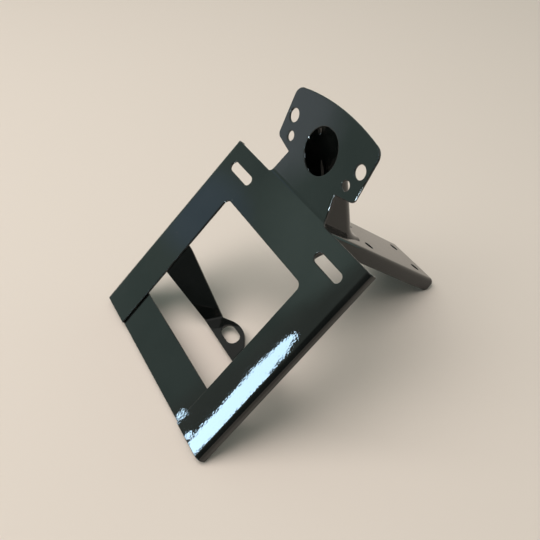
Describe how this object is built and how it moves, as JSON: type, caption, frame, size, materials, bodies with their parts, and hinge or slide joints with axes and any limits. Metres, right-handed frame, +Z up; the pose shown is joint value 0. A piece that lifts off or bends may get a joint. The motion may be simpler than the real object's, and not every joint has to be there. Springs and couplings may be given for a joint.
{
  "type": "tail light bracket",
  "caption": "Welded sheet steel bracket that carries a tail lamp above a licence plate, with a fender channel, a lamp hood and a lower stay.",
  "frame": {"origin": "on the ground below the middle of the part's box, as it stands on its rails and the tongue's tip", "axes": "+Z up, +Y from the face plate back to the tongue's tip, X across the face plate"},
  "size_m": [0.161, 0.2284, 0.1657],
  "materials": {
    "gloss_black_paint": "gloss black paint with fine orange peel"
  },
  "bodies": {
    "root": {"main_plate": "gloss_black_paint", "bottom_strip": "gloss_black_paint", "fender_tongue": "gloss_black_paint", "lamp_hood": "gloss_black_paint", "lower_stay": "gloss_black_paint"}
  },
  "joints": []
}
